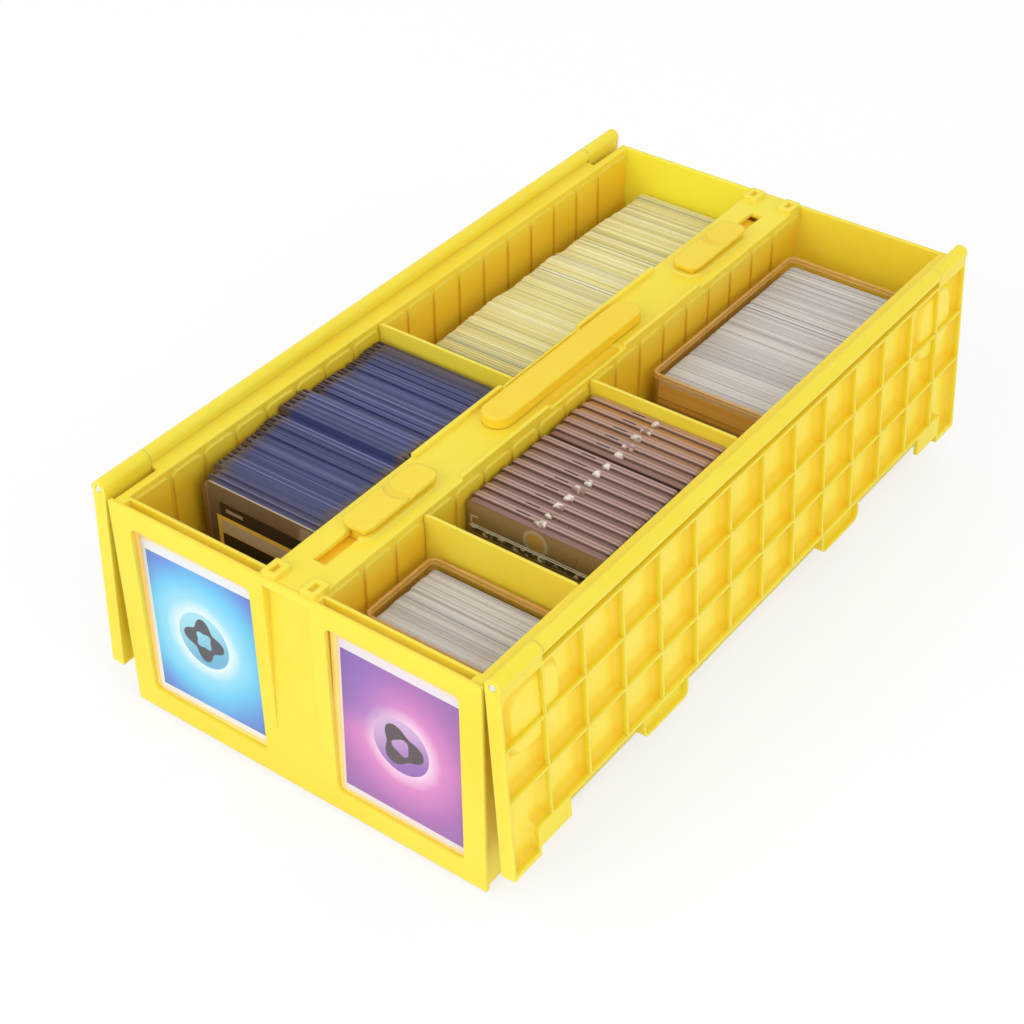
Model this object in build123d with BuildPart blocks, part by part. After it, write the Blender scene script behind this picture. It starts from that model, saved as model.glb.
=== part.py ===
from build123d import *
from math import acos, cos, radians, sin
import os

os.makedirs("parts", exist_ok=True)

# Card storage box with two long trays, a spine between them and two lids that hang open.
# X runs to the right along the front, Y to the rear, Z up from the surface it stands on.

# Overall sizes
box_width = 192.0
box_depth = 375.0
foot_height = 2.0
body_height = 110.5
panel_rise = 0.5
side_inset = 1.5

# Walls and floor
side_wall = 3.7
end_wall = 2.0
floor_wall = 2.5
pad_height = 0.8
pad_drop = 3.0
pad_corner = 3.0

# Front panel, slot and windows
front_wall = 2.0
slot_gap = 4.0
slot_wall = 1.4
slot_side = 1.5
slot_floor = 9.0
window_side = 5.75
window_bottom = 11.0
window_top = 9.5
window_radius = 3.0
strip_width = 24.0
strip_low = 25.0
strip_top = 3.5
strip_depth = 3.6

# Spine
spine_width = 29.2
spine_wall = 2.4
deck_wall = 2.4

# Divider grooves
groove_count = 17
groove_start = 30.5
groove_end = 29.3
groove_width = 1.8
divider_wall = 1.4
divider_top_gap = 0.4
divider_corner = 2.0
left_groove = 7
front_groove = 2
rear_groove = 8

# Hinges
hinge_out = 4.9
hinge_rise = 3.7
barrel_radius = 3.6
pin_radius = 1.5
pin_gap = 0.1
pin_chamfer = 0.25
knuckle_length = 26.8
knuckle_gap = 0.3
hinge_web = 2.3
web_root = 2.2

# Lids, measured from the hinge axis: along the lid, and up from it when the lid is shut
lid_open_tilt = 3.75
lid_top = 3.6
lid_under = 3.0
lid_skin = 1.6
lid_start = 5.2
lid_edge_gap = 15.9
lid_lip_gap = 10.9
lid_lip_wall = 1.4
lid_wall = 1.2
lid_rib = 1.0
cells_along = 14
cells_across = 3
tongue_gap = 1.5
tongue_length = 18.2
tongue_wall = 2.4
step_gap = 5.9
step_length = 39.0
step_drop = 0.9
tab_gap = 1.9
tab_start = 95.0
tab_length = 34.5
tab_radius = 4.0
tab_under = 0.8

# Stacking feet and the sockets that take them
foot_size = 24.0
foot_radius = 5.0
foot_from_side = 22.6
foot_from_end = 24.0
socket_gap = 0.5
socket_depth = 2.4
socket_wall = 1.2
boss_border = 1.6

# Deck details
rim_rib_width = 2.0
rim_rib_height = 2.0
rim_rib_near = 29.5
rim_rib_gap = 6.05
bracket_height = 2.0
bracket_wall = 2.4
bracket_radius = 1.0
bracket_width = 7.6
bracket_length = 10.0
bracket_inset = 1.8
scoop_length = 56.0
scoop_width = 6.4
scoop_inset = 1.2
scoop_depth = 2.7
scoop_wall = 1.6
scoop_fillet = 2.0

# Latches
latch_width = 14.5
latch_length = 48.5
latch_from_end = 65.7
latch_travel = 20.0
latch_wing = 1.8
latch_core_width = 10.4
latch_gap = 0.2
latch_radius = 5.0
latch_core_radius = 1.3
latch_stem_inset = 2.6
latch_scoop_radius = 9.0
latch_scoop_depth = 1.0
latch_scoop_width = 5.4
latch_scoop_flat = 0.9
latch_pad_rise = 0.9
latch_pad_border = 1.2
latch_slot_width = 6.4
latch_slot_radius = 0.4
latch_stem_length = 28.0
latch_stem_gap = 0.4
latch_end_gap = 3.0
latch_hook = 1.6
latch_hook_wall = 1.6
shelf_gap = 0.4
shelf_wall = 1.5

# Carrying handle
handle_length = 112.0
handle_width = 14.5
handle_rise = 1.8
handle_wall = 3.6
handle_travel = 26.0
handle_leg_place = 40.0
handle_leg_length = 12.0
handle_leg_wall = 4.0
handle_leg_gap = 0.4
handle_foot_width = 8.0
handle_foot_wall = 2.4
handle_hollow_gap = 0.3

# Contents
seat_gap = 0.2
card_width = 63.5
card_height = 88.9
display_width = 69.0
display_height = 92.0
display_wall = 1.2
display_pocket = 0.5
display_lean = 1.4
display_front = 0.15
display_card_wall = 0.3
display_turn_left = 1.2
display_turn_right = -0.5
display_radius = 2.5
holder_play = 1.1
holder_height = 101.0
holder_wall = 2.9
holder_pitch = 3.25
holder_count = 38
holder_radius = 3.0
holder_start = 41.0
loose_left_gap = 11.4
loose_start_gap = 23.6
loose_rear_gap = 3.0
loose_bundles = 12
loose_uneven = 0.8
loose_sway = 2.1
loose_wave = 1.7
loose_gap = 0.2
case_height = 90.5
case_wall = 1.4
case_radius = 4.0
case_front_start = 22.0
case_front_length = 45.0
case_rear_gap = 17.0
case_rear_length = 127.0
case_left_gap = 5.8
case_right_gap = 2.6
pack_border = 3.6
pack_height = 86.0
magnet_left_gap = 1.8
magnet_right_gap = 3.8
magnet_height = 101.5
magnet_wall = 6.6
magnet_pitch = 6.85
magnet_front_start = 95.0
magnet_front_count = 8
magnet_rear_start = 152.8
magnet_rear_count = 5
magnet_radius = 3.0
disc_radius = 4.2
disc_wall = 0.8
disc_drop = 9.0
disc_gap = 0.1
sheet_start = 88.0
sheet_lean = 2.3
sheet_wall = 1.0
sheet_height = 100.0

# Places worked out from the sizes above
half_width = box_width / 2
half_depth = box_depth / 2
rim_z = foot_height + body_height
panel_z = rim_z + panel_rise
side_face = half_width - side_inset
tray_outer = side_face - side_wall
tray_inner = spine_width / 2 - pad_height
tray_middle = (tray_outer + tray_inner) / 2
tray_width = tray_outer - tray_inner
tray_front = -half_depth + front_wall + slot_gap + slot_wall
tray_rear = half_depth - end_wall
tray_length = tray_rear - tray_front
tray_floor_z = foot_height + floor_wall
seat_z = tray_floor_z + seat_gap
slot_front = -half_depth + front_wall
slot_width = tray_width - 2 * slot_side
window_width = tray_width - 2 * window_side
window_height = body_height - window_bottom - window_top
strip_high = body_height - strip_top
deck_half = spine_width / 2 - pad_height
scoop_place = deck_half - scoop_inset - scoop_width / 2
scoop_bottom = rim_z - scoop_depth
latch_place = half_depth - latch_from_end
rim_rib_far = latch_place - latch_length / 2 - rim_rib_gap
foot_place_x = half_width - foot_from_side
foot_place_y = half_depth - foot_from_end
latch_stem_end = latch_place + latch_length / 2 - latch_stem_inset
latch_slot_start = latch_stem_end - latch_stem_length - latch_stem_gap
latch_slot_end = latch_stem_end + latch_travel + latch_end_gap
spine_hollow = 2 * (deck_half - spine_wall)
hook_bottom = rim_z - deck_wall - latch_gap - latch_hook_wall
shelf_top = hook_bottom - shelf_gap
axis_x = half_width + hinge_out
axis_z = rim_z + hinge_rise
lid_edge = axis_x - lid_edge_gap
lid_lip = axis_x - lid_lip_gap
tongue_reach = axis_x - tongue_gap
step_reach = axis_x - step_gap
tab_reach = axis_x - tab_gap
body_barrel_length = box_depth - 2 * knuckle_length - 2 * knuckle_gap
groove_pitch = (box_depth - groove_start - groove_end) / (groove_count - 1)
groove_places = [groove_start + k * groove_pitch - half_depth for k in range(groove_count)]


def from_front(distance):
    """Y of a place given as a distance behind the front face."""
    return distance - half_depth


def slab(x, y, z, width, length, height, radius, lean=0.0):
    """An upright slab with rounded corners: x is its middle, y its front face and z its foot."""
    plane = Plane(origin=(x, y, z), x_dir=(1, 0, 0), z_dir=(0, -cos(radians(lean)), sin(radians(lean))))
    with BuildSketch(plane) as outline:
        with Locations((0, height / 2)):
            RectangleRounded(width, height, radius)
    extrude(outline.sketch, amount=-length)


def save(piece, name):
    piece.part.label = name
    export_step(piece.part, f"parts/{name}.step")


# Body shell: one moulding with the trays, the front slots, the spine and the hinge barrels
with BuildPart() as body_shell:
    with BuildSketch(Plane.XY.offset(foot_height)):
        Rectangle(2 * side_face, box_depth)
    extrude(amount=body_height)
    # the two trays
    with BuildSketch(Plane.XY.offset(tray_floor_z)):
        for side in (-1, 1):
            with Locations((side * tray_middle, (tray_front + tray_rear) / 2)):
                Rectangle(tray_width, tray_length)
    extrude(amount=body_height, mode=Mode.SUBTRACT)
    # the hollow under the spine's deck
    with BuildSketch(Plane.XY):
        with Locations((0, (tray_front + tray_rear) / 2)):
            Rectangle(spine_hollow, tray_length)
    extrude(amount=rim_z - deck_wall, mode=Mode.SUBTRACT)
    # the shelves under the latch slots, just below the latches' hooks
    with BuildSketch(Plane.XY.offset(shelf_top)):
        for end in (-1, 1):
            with Locations((0, end * (latch_slot_start + latch_slot_end) / 2)):
                Rectangle(spine_hollow, latch_slot_end - latch_slot_start)
    extrude(amount=-shelf_wall)
    # the front panel reaches past the side walls and a little above the rim
    with BuildSketch(Plane.XZ.offset(half_depth)):
        with Locations((0, (foot_height + panel_z) / 2)):
            Rectangle(box_width, panel_z - foot_height)
    extrude(amount=-front_wall)
    # the slots behind the windows
    with BuildSketch(Plane.XY.offset(foot_height + slot_floor)):
        for side in (-1, 1):
            with Locations((side * tray_middle, slot_front + slot_gap / 2)):
                Rectangle(slot_width, slot_gap)
    extrude(amount=body_height, mode=Mode.SUBTRACT)
    # the windows
    with BuildSketch(Plane.XZ.offset(half_depth)):
        for side in (-1, 1):
            with Locations((side * tray_middle, foot_height + window_bottom + window_height / 2)):
                RectangleRounded(window_width, window_height, window_radius)
    extrude(amount=-front_wall, mode=Mode.SUBTRACT)
    # the strip between the windows leans back towards its top
    with BuildSketch(Plane.YZ):
        with BuildLine():
            Polyline((-half_depth, foot_height + strip_low), (-half_depth, foot_height + strip_high),
                     (-half_depth + strip_depth, foot_height + strip_high), close=True)
        make_face()
    extrude(amount=strip_width / 2, both=True, mode=Mode.SUBTRACT)
    # the pads between the divider grooves, on both long walls of each tray
    pad_edges = [tray_front] + groove_places + [tray_rear]
    for wall_x, facing in ((-tray_outer, 1), (-tray_inner, -1), (tray_inner, 1), (tray_outer, -1)):
        pad_plane = Plane(origin=(wall_x, 0, 0), x_dir=(0, 1, 0), z_dir=(1, 0, 0))
        with BuildSketch(pad_plane) as pads:
            for low, high in zip(pad_edges[:-1], pad_edges[1:]):
                start = low + (groove_width / 2 if low > tray_front else 0)
                stop = high - (groove_width / 2 if high < tray_rear else 0)
                pad_top = rim_z - pad_drop
                with Locations(((start + stop) / 2, (tray_floor_z + pad_top) / 2)):
                    Rectangle(stop - start, pad_top - tray_floor_z)
            fillet(pads.vertices().group_by(Axis.Y)[-1], pad_corner)
        extrude(amount=facing * pad_height)
    # the deck over the spine carries the raised latch pads and the edge rims
    with BuildSketch(Plane.XY.offset(rim_z)):
        for end in (-1, 1):
            with Locations((0, end * latch_place)):
                RectangleRounded(latch_width + 2 * latch_pad_border, latch_length + 2 * latch_pad_border,
                                 latch_radius + latch_pad_border)
    extrude(amount=latch_pad_rise)
    with BuildSketch(Plane.XY.offset(rim_z)):
        for side in (-1, 1):
            for end in (-1, 1):
                with Locations((side * (deck_half - rim_rib_width / 2),
                                end * (rim_rib_near + rim_rib_far) / 2)):
                    Rectangle(rim_rib_width, rim_rib_far - rim_rib_near)
    extrude(amount=rim_rib_height)
    # the low brackets at the deck's corners
    with BuildSketch(Plane.XY.offset(rim_z)):
        for side in (-1, 1):
            for end in (-1, 1):
                with Locations((side * (deck_half - bracket_width / 2),
                                end * (half_depth - bracket_inset - bracket_length / 2))):
                    RectangleRounded(bracket_width, bracket_length, bracket_radius)
                    Rectangle(bracket_width - 2 * bracket_wall, bracket_length - 2 * bracket_wall,
                              mode=Mode.SUBTRACT)
    extrude(amount=bracket_height)
    # the finger scoops beside the handle, each with its own floor under the deck
    with BuildSketch(Plane.XY.offset(rim_z - deck_wall)):
        for side in (-1, 1):
            with Locations((side * (scoop_place - scoop_wall / 2), 0)):
                Rectangle(scoop_width + scoop_wall, scoop_length + 2 * scoop_wall)
    extrude(amount=deck_wall - scoop_depth - scoop_wall)
    with BuildSketch(Plane.XY.offset(rim_z)):
        for side in (-1, 1):
            with Locations((side * scoop_place, 0)):
                SlotCenterToCenter(scoop_length - scoop_width, scoop_width, rotation=90)
    extrude(amount=-scoop_depth, mode=Mode.SUBTRACT)
    fillet(body_shell.edges().filter_by_position(Axis.Z, scoop_bottom, scoop_bottom), scoop_fillet)
    # the latch slots and the holes for the handle's legs
    with BuildSketch(Plane.XY.offset(rim_z + latch_pad_rise)):
        for end in (-1, 1):
            with Locations((0, end * (latch_slot_start + latch_slot_end) / 2)):
                RectangleRounded(latch_slot_width, latch_slot_end - latch_slot_start, latch_slot_radius)
            with Locations((0, end * handle_leg_place)):
                Rectangle(handle_leg_wall + 2 * handle_leg_gap, handle_leg_length + 2 * handle_leg_gap)
    extrude(amount=-(latch_pad_rise + deck_wall), mode=Mode.SUBTRACT)
    # the stacking feet
    with BuildSketch(Plane.XY):
        for side in (-1, 1):
            for end in (-1, 1):
                with Locations((side * foot_place_x, end * foot_place_y)):
                    RectangleRounded(foot_size, foot_size, foot_radius)
    extrude(amount=foot_height)
    # the hinge barrels, each on a web that slants down to the side wall
    for side in (-1, 1):
        barrel_plane = Plane(origin=(side * axis_x, body_barrel_length / 2, axis_z), z_dir=(0, 1, 0),
                             x_dir=(-side, 0, 0))
        web_start = barrel_radius - pin_gap
        web_top = web_start * sin(acos(web_root / barrel_radius))
        wall_reach = axis_x - side_face
        root_reach = wall_reach + side_wall / 2
        web_under = hinge_rise + hinge_web
        with BuildSketch(barrel_plane):
            with BuildLine():
                Polyline((0, 0), (web_root, -side * web_top), (wall_reach, -side * hinge_rise),
                         (root_reach, -side * hinge_rise), (root_reach, -side * web_under),
                         (wall_reach, -side * web_under), (0, -side * web_start), close=True)
            make_face()
            Circle(barrel_radius)
        extrude(amount=-body_barrel_length)
        with BuildSketch(barrel_plane):
            Circle(pin_radius)
        extrude(amount=-body_barrel_length, mode=Mode.SUBTRACT)
save(body_shell, "body_shell")

# Hinge pins, one steel rod along each side
for side, name in ((-1, "hinge_pin_left"), (1, "hinge_pin_right")):
    with BuildPart(Plane(origin=(side * axis_x, 0, axis_z), z_dir=(0, 1, 0))) as hinge_pin:
        Cylinder(pin_radius, box_depth)
        chamfer(hinge_pin.edges().filter_by(GeomType.CIRCLE), pin_chamfer)
    save(hinge_pin, name)


def build_lid(plane):
    """One lid, drawn along its plane: x from the hinge axis to the free edge, z up when it is shut."""
    half = box_depth / 2
    rib_height = lid_top - lid_skin + lid_under
    socket_size = foot_size + 2 * socket_gap
    boss_size = socket_size + 2 * boss_border
    socket_s = axis_x - foot_place_x
    tongue_place = half - tongue_length / 2
    tongue_side = half - tongue_length + lid_wall / 2
    step_place = half - (step_length + tongue_length - lid_wall) / 2
    tab_place = half - tab_start - tab_length / 2
    tab_wide = tab_reach - lid_edge
    hollow_width = tab_wide - 2 * lid_wall
    hollow_length = tab_length - 2 * lid_wall
    with BuildPart() as lid:
        # the smooth skin, which reaches into the tongues at both ends
        with BuildSketch(plane.offset(lid_top)):
            with Locations(((lid_start + lid_edge) / 2, 0)):
                Rectangle(lid_edge - lid_start, box_depth)
            for end in (-1, 1):
                with Locations(((lid_edge - lid_wall + tongue_reach) / 2, end * tongue_place)):
                    Rectangle(tongue_reach - lid_edge + lid_wall, tongue_length)
        extrude(amount=-lid_skin)
        # the lip past the free edge
        with BuildSketch(plane.offset(lid_top)):
            with Locations(((lid_edge + lid_lip) / 2 - lid_wall / 2, 0)):
                Rectangle(lid_lip - lid_edge + lid_wall, box_depth - 2 * step_length)
        extrude(amount=-lid_lip_wall)
        # the border walls and the ribs
        with BuildSketch(plane.offset(lid_top - lid_skin)):
            for end in (-1, 1):
                with Locations(((lid_start + tongue_reach) / 2, end * (half - lid_wall / 2))):
                    Rectangle(tongue_reach - lid_start, lid_wall)
                with Locations((tongue_reach - tongue_wall / 2, end * tongue_place)):
                    Rectangle(tongue_wall, tongue_length)
                with Locations(((lid_edge - lid_wall + tongue_reach) / 2, end * tongue_side)):
                    Rectangle(tongue_reach - lid_edge + lid_wall, lid_wall)
            with Locations((lid_start + lid_wall / 2, 0)):
                Rectangle(lid_wall, box_depth)
            with Locations((lid_edge - lid_wall / 2, 0)):
                Rectangle(lid_wall, box_depth - 2 * tongue_length)
            for k in range(1, cells_along):
                with Locations(((lid_start + lid_edge) / 2, k * box_depth / cells_along - half)):
                    Rectangle(lid_edge - lid_start, lid_rib)
            for k in range(1, cells_across):
                with Locations((lid_start + k * (lid_edge - lid_start) / cells_across, 0)):
                    Rectangle(lid_rib, box_depth)
        extrude(amount=-rib_height)
        # the knuckles at both ends
        for end in (-1, 1):
            knuckle_plane = Plane(origin=plane.from_local_coords((0, end * half, 0)),
                                  x_dir=plane.x_dir, z_dir=plane.y_dir * -end)
            with BuildSketch(knuckle_plane):
                Circle(barrel_radius)
                with Locations((lid_start / 2 + lid_wall / 2, end * (lid_top - lid_under) / 2)):
                    Rectangle(lid_start + lid_wall, lid_top + lid_under)
            extrude(amount=knuckle_length)
            with BuildSketch(knuckle_plane):
                Circle(pin_radius + pin_gap)
            extrude(amount=knuckle_length, mode=Mode.SUBTRACT)
        # the bosses behind the stacking sockets
        with BuildSketch(plane.offset(lid_top)):
            for end in (-1, 1):
                with Locations((socket_s, end * foot_place_y)):
                    RectangleRounded(boss_size, boss_size, foot_radius + boss_border)
        extrude(amount=-(socket_depth + socket_wall))
        with BuildSketch(plane.offset(lid_top)):
            for end in (-1, 1):
                with Locations((socket_s, end * foot_place_y)):
                    RectangleRounded(socket_size, socket_size, foot_radius)
        extrude(amount=-socket_depth, mode=Mode.SUBTRACT)
        # the steps beside the tongues lie low, so that a latch can cover them
        with BuildSketch(plane.offset(-step_drop)):
            for end in (-1, 1):
                with Locations(((lid_edge - lid_wall + step_reach) / 2, end * step_place)):
                    Rectangle(step_reach - lid_edge + lid_wall, step_length - tongue_length + lid_wall)
        extrude(amount=step_drop - lid_under)
        # the two finger tabs
        with BuildSketch(plane.offset(lid_top)):
            for end in (-1, 1):
                with Locations(((lid_edge - lid_wall + tab_reach) / 2, end * tab_place)):
                    RectangleRounded(tab_wide + lid_wall, tab_length, tab_radius)
        extrude(amount=-(lid_top + tab_under))
        with BuildSketch(plane.offset(-tab_under)):
            for end in (-1, 1):
                with Locations(((lid_edge + tab_reach) / 2, end * tab_place)):
                    RectangleRounded(hollow_width, hollow_length, tab_radius - lid_wall)
        extrude(amount=lid_top + tab_under - lid_lip_wall, mode=Mode.SUBTRACT)
    return lid


# Lids, hanging open beside the box
for side, name in ((-1, "lid_left"), (1, "lid_right")):
    tilt = radians(lid_open_tilt)
    lid = build_lid(Plane(origin=(side * axis_x, 0, axis_z), x_dir=(side * sin(tilt), 0, -cos(tilt)),
                          z_dir=(-side * cos(tilt), 0, -sin(tilt))))
    save(lid, name)

# Latches, drawn back from the lids
latch_bottom = rim_z + latch_pad_rise + latch_gap
wing_bottom = axis_z - step_drop + latch_gap
latch_top = wing_bottom + latch_wing
for end, name in ((-1, "latch_front"), (1, "latch_rear")):
    with BuildPart() as latch:
        with BuildSketch(Plane.XY.offset(wing_bottom)):
            with Locations((0, end * latch_place)):
                RectangleRounded(latch_width, latch_length, latch_radius)
        extrude(amount=latch_wing)
        with BuildSketch(Plane.XY.offset(latch_bottom)):
            with Locations((0, end * latch_place)):
                RectangleRounded(latch_core_width, latch_length - 2 * latch_core_radius, latch_core_radius)
        extrude(amount=wing_bottom - latch_bottom)
        # the thumb scoop, a crescent with its steep side to the front
        with BuildSketch(Plane.XY.offset(latch_top)):
            with Locations((0, end * latch_place + latch_scoop_radius)):
                Circle(latch_scoop_radius)
            with Locations((0, end * latch_place + latch_scoop_radius + latch_scoop_width)):
                Circle(latch_scoop_radius + latch_scoop_flat, mode=Mode.SUBTRACT)
        extrude(amount=-latch_scoop_depth, mode=Mode.SUBTRACT)
        # the stem through the slot and the hook under the deck
        stem_place = end * (latch_stem_end - latch_stem_length / 2)
        with BuildSketch(Plane.XY.offset(latch_bottom)):
            with Locations((0, stem_place)):
                Rectangle(latch_slot_width - 2 * latch_stem_gap, latch_stem_length)
        extrude(amount=hook_bottom - latch_bottom)
        with BuildSketch(Plane.XY.offset(hook_bottom)):
            with Locations((0, stem_place)):
                Rectangle(latch_slot_width + 2 * latch_hook, latch_stem_length)
        extrude(amount=latch_hook_wall)
    save(latch, name)

# Carrying handle, down on its deck
handle_bottom = rim_z + handle_hollow_gap
leg_bottom = rim_z - deck_wall - handle_travel - handle_foot_wall
with BuildPart() as carry_handle:
    with BuildSketch(Plane.XY.offset(handle_bottom)):
        SlotCenterToCenter(handle_length - handle_width, handle_width, rotation=90)
    extrude(amount=handle_wall + handle_rise)
    fillet(carry_handle.faces().sort_by(Axis.Z)[-1].edges(), handle_rise / 2)
    with BuildSketch(Plane.XY.offset(handle_bottom)):
        for end in (-1, 1):
            with Locations((0, end * handle_leg_place)):
                Rectangle(handle_leg_wall, handle_leg_length)
    extrude(amount=leg_bottom - handle_bottom)
    with BuildSketch(Plane.XY.offset(leg_bottom)):
        for end in (-1, 1):
            with Locations((0, end * handle_leg_place)):
                Rectangle(handle_foot_width, handle_leg_length)
    extrude(amount=handle_foot_wall)
save(carry_handle, "carry_handle")

# Dividers, standing in three of the grooves
divider_height = rim_z - divider_top_gap - seat_z
divider_width = tray_width - 2 * seat_gap
for side, groove, name in ((-1, left_groove, "divider_left"), (1, front_groove, "divider_right_front"),
                           (1, rear_groove, "divider_right_rear")):
    with BuildPart() as divider:
        with BuildSketch(Plane.XZ.offset(-groove_places[groove])) as outline:
            with Locations((side * tray_middle, seat_z + divider_height / 2)):
                Rectangle(divider_width, divider_height)
            fillet(outline.vertices().group_by(Axis.Y)[-1], divider_corner)
        extrude(amount=divider_wall / 2, both=True)
    save(divider, name)

# Display cards, each in a clear holder that leans back in the slot behind its window
lean = radians(display_lean)
for side, turn, name in ((-1, display_turn_left, "left"), (1, display_turn_right, "right")):
    turn_angle = radians(turn)
    foot_lift = abs(sin(turn_angle)) * display_width / 2
    display_foot = foot_height + slot_floor + seat_gap + foot_lift
    display_plane = Plane(
        origin=(side * tray_middle, slot_front + display_front, display_foot),
        x_dir=(cos(turn_angle), sin(turn_angle) * sin(lean), sin(turn_angle) * cos(lean)),
        z_dir=(0, -cos(lean), sin(lean)))
    pocket_front = (display_wall - display_pocket) / 2
    pocket_bottom = (display_height - card_height) / 2
    with BuildPart() as card_holder:
        with BuildSketch(display_plane):
            with Locations((0, display_height / 2)):
                RectangleRounded(display_width, display_height, display_radius)
        extrude(amount=-display_wall)
        with BuildSketch(display_plane.offset(-pocket_front)):
            with Locations((0, pocket_bottom + display_height / 2)):
                Rectangle(card_width + 2 * seat_gap, display_height)
        extrude(amount=-display_pocket, mode=Mode.SUBTRACT)
    save(card_holder, f"display_holder_{name}")
    with BuildPart() as display_card:
        with BuildSketch(display_plane.offset(-pocket_front - (display_pocket - display_card_wall) / 2)):
            with Locations((0, pocket_bottom + seat_gap + card_height / 2)):
                RectangleRounded(card_width, card_height, display_radius)
        extrude(amount=-display_card_wall)
    save(display_card, f"display_card_{name}")

# Rigid card holders standing in the left tray
with BuildPart() as rigid_holders:
    for k in range(holder_count):
        slab(-tray_middle, from_front(holder_start + k * holder_pitch), seat_z,
             tray_width - 2 * holder_play, holder_wall, holder_height, holder_radius)
save(rigid_holders, "rigid_holders")

# Loose cards behind them, in bundles whose ends and tops are uneven
with BuildPart() as loose_cards:
    loose_start = groove_places[left_groove] + loose_start_gap
    bundle_length = (tray_rear - loose_rear_gap - loose_start) / loose_bundles
    loose_middle = -tray_middle - tray_width / 2 + loose_left_gap + card_width / 2
    for k in range(loose_bundles):
        shift = loose_uneven * sin(loose_sway * k)
        drop = loose_uneven * (1 + cos(loose_wave * k))
        slab(loose_middle + shift, loose_start + k * bundle_length, seat_z,
             card_width, bundle_length - loose_gap, card_height - drop, display_radius)
save(loose_cards, "loose_cards")

# Clear cases with their cards in the right tray
case_width = tray_width - case_left_gap - case_right_gap
case_middle = tray_inner + case_left_gap + case_width / 2
case_rear_start = tray_rear - case_rear_gap - case_rear_length
for start, length, name in ((from_front(case_front_start), case_front_length, "front"),
                            (case_rear_start, case_rear_length, "rear")):
    with BuildPart() as card_case:
        with BuildSketch(Plane.XY.offset(seat_z)):
            with Locations((case_middle, start + length / 2)):
                RectangleRounded(case_width, length, case_radius)
        extrude(amount=case_height)
        with BuildSketch(Plane.XY.offset(seat_z + case_wall)):
            with Locations((case_middle, start + length / 2)):
                RectangleRounded(case_width - 2 * case_wall, length - 2 * case_wall,
                                 case_radius - case_wall)
        extrude(amount=case_height, mode=Mode.SUBTRACT)
    save(card_case, f"card_case_{name}")
    with BuildPart() as card_pack:
        with BuildSketch(Plane.XY.offset(seat_z + case_wall + seat_gap)):
            with Locations((case_middle, start + length / 2)):
                Rectangle(card_width, length - 2 * pack_border)
        extrude(amount=pack_height)
    save(card_pack, f"card_pack_{name}")

# Magnetic holders standing in the middle of the right tray, each with a disc magnet in its face
magnet_width = tray_width - magnet_left_gap - magnet_right_gap
magnet_middle = tray_inner + magnet_left_gap + magnet_width / 2
magnet_starts = [magnet_front_start + k * magnet_pitch for k in range(magnet_front_count)]
magnet_starts += [magnet_rear_start + k * magnet_pitch for k in range(magnet_rear_count)]
disc_z = seat_z + magnet_height - disc_drop
with BuildPart() as magnetic_holders:
    for start in magnet_starts:
        slab(magnet_middle, from_front(start), seat_z,
             magnet_width, magnet_wall, magnet_height, magnet_radius)
    for start in magnet_starts:
        with BuildSketch(Plane(origin=(magnet_middle, from_front(start), disc_z), x_dir=(1, 0, 0),
                               z_dir=(0, -1, 0))):
            Circle(disc_radius + disc_gap)
        extrude(amount=-disc_wall, mode=Mode.SUBTRACT)
save(magnetic_holders, "magnetic_holders")
with BuildPart() as magnet_discs:
    for start in magnet_starts:
        with BuildSketch(Plane(origin=(magnet_middle, from_front(start), disc_z), x_dir=(1, 0, 0),
                               z_dir=(0, -1, 0))):
            Circle(disc_radius)
        extrude(amount=-disc_wall)
save(magnet_discs, "magnet_discs")

# A thin clear sheet leans towards them
with BuildPart() as clear_sheet:
    sheet_foot = seat_z + sheet_wall * sin(radians(sheet_lean))
    slab(magnet_middle, from_front(sheet_start), sheet_foot,
         magnet_width, sheet_wall, sheet_height, magnet_radius, sheet_lean)
save(clear_sheet, "clear_sheet")
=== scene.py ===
import math

import bpy
import numpy as np
from mathutils import Matrix, Vector


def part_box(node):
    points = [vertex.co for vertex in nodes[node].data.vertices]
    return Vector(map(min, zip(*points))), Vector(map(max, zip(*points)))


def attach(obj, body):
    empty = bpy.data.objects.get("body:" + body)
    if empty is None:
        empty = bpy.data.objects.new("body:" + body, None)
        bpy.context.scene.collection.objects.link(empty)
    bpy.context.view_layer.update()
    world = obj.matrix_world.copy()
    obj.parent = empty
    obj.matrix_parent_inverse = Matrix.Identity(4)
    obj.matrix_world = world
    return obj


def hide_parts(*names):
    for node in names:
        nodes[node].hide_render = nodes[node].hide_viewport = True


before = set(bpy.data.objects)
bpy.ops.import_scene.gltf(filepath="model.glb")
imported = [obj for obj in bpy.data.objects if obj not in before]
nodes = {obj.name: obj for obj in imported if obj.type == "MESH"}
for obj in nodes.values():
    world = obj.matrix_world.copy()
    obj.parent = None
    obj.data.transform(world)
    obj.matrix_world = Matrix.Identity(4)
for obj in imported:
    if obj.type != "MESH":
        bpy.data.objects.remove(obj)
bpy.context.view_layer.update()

# Card storage box. The frame is in metres; sizes here are in millimetres and go through mm.
mm = 0.001
print("frame loaded,", len(nodes), "nodes")


def boxOf(node):
    # a node's lowest and highest corner, in millimetres
    low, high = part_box(node)
    return np.array(low) / mm, np.array(high) / mm


def tone(red, green, blue):
    # a screen colour, 0 to 255, as the linear colour that a socket takes
    share = np.array([red, green, blue]) / 255
    linear = np.where(share <= 0.04045, share / 12.92, ((share + 0.055) / 1.055) ** 2.4)
    return (*linear.tolist(), 1.0)


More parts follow.
